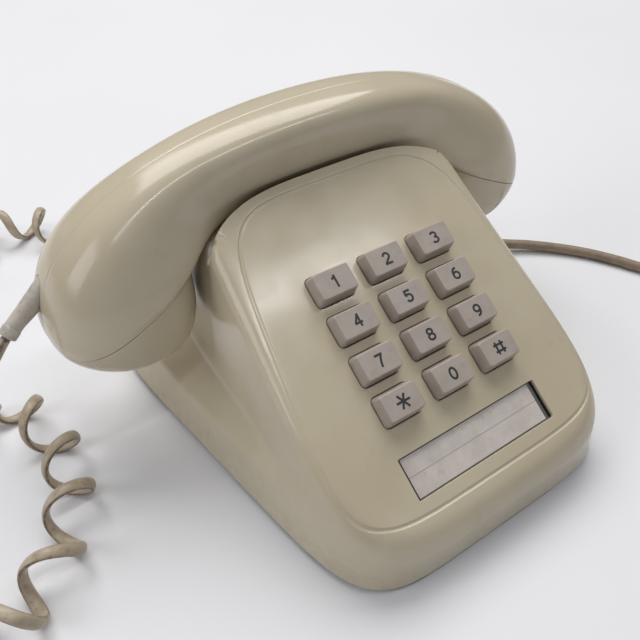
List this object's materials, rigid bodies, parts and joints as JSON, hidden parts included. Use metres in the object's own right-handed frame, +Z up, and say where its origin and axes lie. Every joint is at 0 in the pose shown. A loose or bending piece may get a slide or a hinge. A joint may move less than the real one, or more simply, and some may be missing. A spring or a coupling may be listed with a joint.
{
  "type": "corded push-button telephone",
  "caption": "Desk telephone with a sloping push-button face, a lift-off handset in a rear cradle, a coiled handset cord and a line cord.",
  "frame": {"origin": "middle of the base's footprint, on the table plane under the rubber feet", "axes": "+Z up; the keypad face looks toward -Y and the front lip is the -Y end; the handset lies along X with the corded end at -X"},
  "size_m": [0.366, 0.2651, 0.1066],
  "materials": {
    "ivory_plastic": "aged ivory moulded shell, glossy, lightly scuffed",
    "base_plastic": "dark moulded plate",
    "foot_rubber": "matt black rubber",
    "plated_steel": "zinc plated",
    "black_plastic": "black moulded",
    "card": "yellowed paper card",
    "clear_plastic": "clear strip",
    "key_plastic": "satin warm grey key caps",
    "board_laminate": "brown board laminate",
    "ribbon_cable": "grey ribbon cable",
    "component_cases": "dipped component cases",
    "copper_winding": "enamelled copper wire",
    "bell_metal": "plated bell metal",
    "contact_brass": "spring brass",
    "plunger_plastic": "off-white plungers",
    "line_cord_jacket": "tan vinyl jacket",
    "grommet_rubber": "dark rubber",
    "plug_plastic": "off-white plug body",
    "coil_cord_jacket": "grubby beige vinyl jacket",
    "boot_rubber": "grey rubber boot",
    "capsule_metal": "pressed capsule",
    "wire_insulation": "thin red insulation"
  },
  "bodies": {
    "base": {"upper_housing": "ivory_plastic", "base_plate": "base_plastic", "rubber_feet": "foot_rubber", "housing_screws": "plated_steel", "card_tray": "black_plastic", "number_card": "card", "card_window": "clear_plastic", "keypad_switches": "black_plastic", "keypad_board": "board_laminate", "keypad_screws": "plated_steel", "keypad_cable": "ribbon_cable", "main_board": "board_laminate", "board_screws": "plated_steel", "board_components": "component_cases", "speech_transformer": "copper_winding", "terminal_block": "black_plastic", "ringer_frame": "plated_steel", "ringer_coil": "copper_winding", "ringer_core": "plated_steel", "bell_gong_left": "bell_metal", "bell_gong_right": "bell_metal", "gong_screws": "plated_steel", "hook_switch_bracket": "plated_steel", "hook_switch_blades": "contact_brass", "hook_lever_pin": "plated_steel", "line_cord": "line_cord_jacket", "line_cord_grommet": "grommet_rubber", "line_plug": "plug_plastic", "handset_cord": "coil_cord_jacket", "handset_cord_grommet": "grommet_rubber"},
    "handset": {"handset_shell": "ivory_plastic", "ear_cap": "ivory_plastic", "mouth_cap": "ivory_plastic", "ear_capsule": "capsule_metal", "mouth_capsule": "black_plastic", "capsule_springs": "contact_brass", "handset_wires": "wire_insulation", "cord_boot": "boot_rubber"},
    "key_1_body": {"key_1": "key_plastic"},
    "key_2_body": {"key_2": "key_plastic"},
    "key_3_body": {"key_3": "key_plastic"},
    "key_4_body": {"key_4": "key_plastic"},
    "key_5_body": {"key_5": "key_plastic"},
    "key_6_body": {"key_6": "key_plastic"},
    "key_7_body": {"key_7": "key_plastic"},
    "key_8_body": {"key_8": "key_plastic"},
    "key_9_body": {"key_9": "key_plastic"},
    "key_star_body": {"key_star": "key_plastic"},
    "key_0_body": {"key_0": "key_plastic"},
    "key_hash_body": {"key_hash": "key_plastic"},
    "plunger_left": {"cradle_plunger_left": "plunger_plastic"},
    "plunger_right": {"cradle_plunger_right": "plunger_plastic"},
    "hook_rocker": {"hook_lever": "black_plastic"},
    "clapper": {"ringer_clapper": "plated_steel"}
  },
  "joints": [
    {"name": "handset_lift", "type": "slide", "parent": "base", "child": "handset", "axis": [0, 0, 1], "range_m": [0, 0.12]},
    {"name": "key_1_press", "type": "slide", "parent": "base", "child": "key_1_body", "axis": [0, 0.5461, -0.8377], "range_m": [0, 0.003]},
    {"name": "key_2_press", "type": "slide", "parent": "base", "child": "key_2_body", "axis": [0, 0.5461, -0.8377], "range_m": [0, 0.003]},
    {"name": "key_3_press", "type": "slide", "parent": "base", "child": "key_3_body", "axis": [0, 0.5461, -0.8377], "range_m": [0, 0.003]},
    {"name": "key_4_press", "type": "slide", "parent": "base", "child": "key_4_body", "axis": [0, 0.5461, -0.8377], "range_m": [0, 0.003]},
    {"name": "key_5_press", "type": "slide", "parent": "base", "child": "key_5_body", "axis": [0, 0.5461, -0.8377], "range_m": [0, 0.003]},
    {"name": "key_6_press", "type": "slide", "parent": "base", "child": "key_6_body", "axis": [0, 0.5461, -0.8377], "range_m": [0, 0.003]},
    {"name": "key_7_press", "type": "slide", "parent": "base", "child": "key_7_body", "axis": [0, 0.5461, -0.8377], "range_m": [0, 0.003]},
    {"name": "key_8_press", "type": "slide", "parent": "base", "child": "key_8_body", "axis": [0, 0.5461, -0.8377], "range_m": [0, 0.003]},
    {"name": "key_9_press", "type": "slide", "parent": "base", "child": "key_9_body", "axis": [0, 0.5461, -0.8377], "range_m": [0, 0.003]},
    {"name": "key_star_press", "type": "slide", "parent": "base", "child": "key_star_body", "axis": [0, 0.5461, -0.8377], "range_m": [0, 0.003]},
    {"name": "key_0_press", "type": "slide", "parent": "base", "child": "key_0_body", "axis": [0, 0.5461, -0.8377], "range_m": [0, 0.003]},
    {"name": "key_hash_press", "type": "slide", "parent": "base", "child": "key_hash_body", "axis": [0, 0.5461, -0.8377], "range_m": [0, 0.003]},
    {"name": "plunger_left_rise", "type": "slide", "parent": "base", "child": "plunger_left", "axis": [0, 0, 1], "range_m": [0, 0.006]},
    {"name": "plunger_right_rise", "type": "slide", "parent": "base", "child": "plunger_right", "axis": [0, 0, 1], "range_m": [0, 0.006]},
    {"name": "hook_lever_swing", "type": "hinge", "parent": "base", "child": "hook_rocker", "pos_m": [0, 0.0535, 0.057], "axis": [1, 0, 0], "range_deg": [-20.9, 0]},
    {"name": "clapper_swing", "type": "hinge", "parent": "base", "child": "clapper", "pos_m": [0, 0.018, 0.0197], "axis": [0, 0, 1], "range_deg": [-6.8, 6.8]}
  ],
  "couplings": [
    {"joint": "plunger_left_rise", "follows": "handset_lift", "ratio": 0.05},
    {"joint": "plunger_right_rise", "follows": "handset_lift", "ratio": 0.05},
    {"joint": "hook_lever_swing", "follows": "handset_lift", "rad_per_m": -3.0398}
  ]
}
